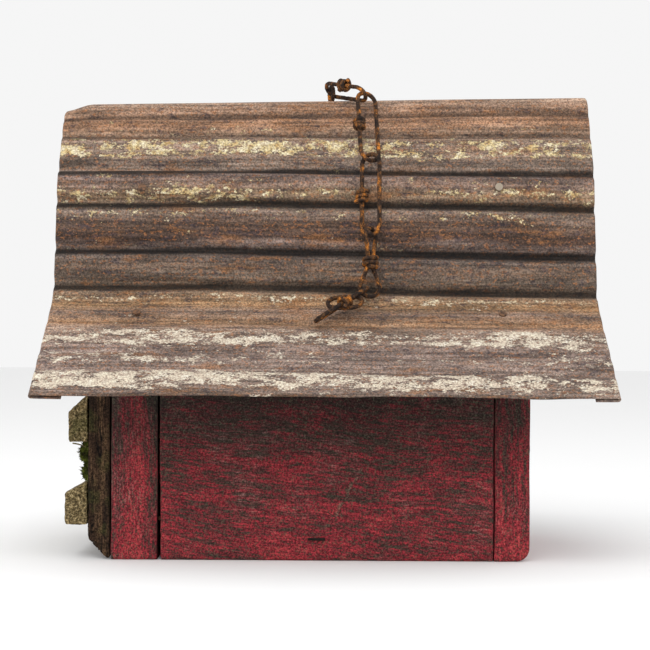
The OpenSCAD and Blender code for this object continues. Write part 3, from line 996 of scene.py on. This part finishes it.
# %% Steel finishes
def nail_finish():
    steel = Finish("rusted_nail", roughness=0.7, metallic=0.2, specular=0.4)
    patch = steel.cloud(steel.place((500, 500, 500)), 1, 4, 0.6)
    colour = steel.ramp(patch, [(0.35, paint(48, 36, 30)), (0.5, paint(92, 68, 52)),
                                (0.65, paint(128, 92, 64))])
    bright = steel.sum("MULTIPLY", steel.between(steel.axis("X"), 80 * mm, 85 * mm),
                       steel.sum("MULTIPLY",
                                 steel.between(steel.axis("Y"), -20 * mm, -25 * mm),
                                 steel.between(steel.axis("Z"), 190 * mm, 195 * mm)))
    colour = steel.mix(bright, colour, paint(150, 138, 122))
    return steel.done(colour, patch, 0.2 * mm)


nail_steel = nail_finish()
staple_black = Finish("blackened_staple", roughness=0.75, metallic=0.3)
tarnish = staple_black.cloud(staple_black.place((700, 700, 700)), 1, 3)
staple_black = staple_black.done(staple_black.ramp(tarnish, [(0.35, paint(8, 7, 6)),
                                                             (0.65, paint(34, 26, 20))]),
                                 tarnish, 0.15 * mm)
print("finishes", nail_steel.name, "and", staple_black.name)

# %% [markdown]
# The fasteners keep their CAD shapes, which are already right. They get a finish, and a small
# bevel that rounds every sharp edge.

# %% Fasteners
for node in ("roof_nails", "back_wall_nails", "front_wall_nails", "facade_nails", "ledge_nails",
             "floor_staples", "hanger_washer", "hanger_nut"):
    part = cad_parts[node]
    part.data.materials.clear()
    part.data.materials.append(staple_black if node == "floor_staples" else nail_steel)
    soften = part.modifiers.new("worn_edges", "BEVEL")
    soften.width = 0.15 * mm
    soften.segments = 2
    soften.limit_method = "ANGLE"
print("fasteners finished")

# %% [markdown]
# ## Moss
# Moss grows as a crowded cushion of tiny leafy shoots. The cushion is the CAD pad, roughened.
# The shoots are small cones that lean out of it at random, all in one mesh, with a fixed seed
# so that they always come out the same.

# %% Moss finish
def moss_finish():
    green = Finish("dry_moss", roughness=0.95, specular=0.1)
    patch = green.cloud(green.place((260, 260, 260)), 1, 4, 0.6)
    colour = green.ramp(patch, [(0.34, paint(34, 34, 18)), (0.48, paint(66, 70, 28)),
                                (0.6, paint(104, 112, 44)), (0.72, paint(140, 140, 70))])
    return green.done(colour, patch, 0.5 * mm)


moss_green = moss_finish()
print("finish", moss_green.name)

# %% [markdown]
# Picking a face at random in proportion to its area spreads the shoots evenly. Each shoot grows
# from a random place on its face, and leans away from the face's own direction.

# %% Moss
draw = random.Random(11)


def moss(name, node, shoots):
    low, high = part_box(node)
    shape = bmesh.new()
    shape.from_mesh(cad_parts[node].data)
    bmesh.ops.remove_doubles(shape, verts=shape.verts, dist=1e-6)
    shape.normal_update()
    faces = [face for face in shape.faces if face.normal.x < 0.3]
    roots = draw.choices(faces, weights=[face.calc_area() for face in faces], k=shoots)
    places = []
    for face in roots:
        corners = [vert.co for vert in face.verts]
        mixing = [draw.random() for _ in corners]
        place = sum((c * m for c, m in zip(corners, mixing)), Vector()) / sum(mixing)
        places.append((place, face.normal.copy()))
    for vert in shape.verts:
        vert.co.x += 0.8 * mm * (0.5 + noise.noise(vert.co * 400))
    for place, out in places:
        lean = (out + Vector([draw.uniform(-0.8, 0.8) for _ in range(3)])).normalized()
        length = draw.choice((1, 1, 1.8)) * draw.uniform(0.9, 2.3) * mm
        turn = lean.to_track_quat("Z", "Y").to_matrix().to_4x4()
        bmesh.ops.create_cone(shape, segments=4, radius1=0.42 * mm, radius2=0.05 * mm,
                              depth=length, cap_ends=False,
                              matrix=Matrix.Translation(place + lean * length * 0.3) @ turn)
    return finish_piece(name, shape, "house", moss_green, [node], smooth=False)


moss("moss_cushion_high", "moss_upper", 1500)
moss("moss_cushion_low", "moss_lower", 1500)

# %% [markdown]
# A dry stalk hangs out of the moss, just under the upper ledge. It is a chain of thin cones,
# each one turned a little further down than the last.

# %% Stalk
def stalk():
    ledge_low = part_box("upper_ledge")[0]
    knots = [Vector((ledge_low.x + 2.5 * mm, ledge_low.y + 1 * mm, ledge_low.z - 0.6 * mm))]
    for i in range(7):
        droop = math.radians(-8 - 3.5 * i)
        knots.append(knots[-1] + 1.4 * mm * Vector((math.cos(droop), 0.12, math.sin(droop))))
    shape = bmesh.new()
    for start, end in zip(knots, knots[1:]):
        turn = (end - start).to_track_quat("Z", "Y").to_matrix().to_4x4()
        bmesh.ops.create_cone(shape, segments=6, radius1=0.42 * mm, radius2=0.36 * mm,
                              depth=(end - start).length * 1.15, cap_ends=True,
                              matrix=Matrix.Translation((start + end) / 2) @ turn)
    straw = bare_finish("dry_straw", 0, 6.1, (70, 62, 40), (120, 108, 72), (160, 146, 104))
    finish_piece("dry_stalk", shape, "house", straw)


stalk()
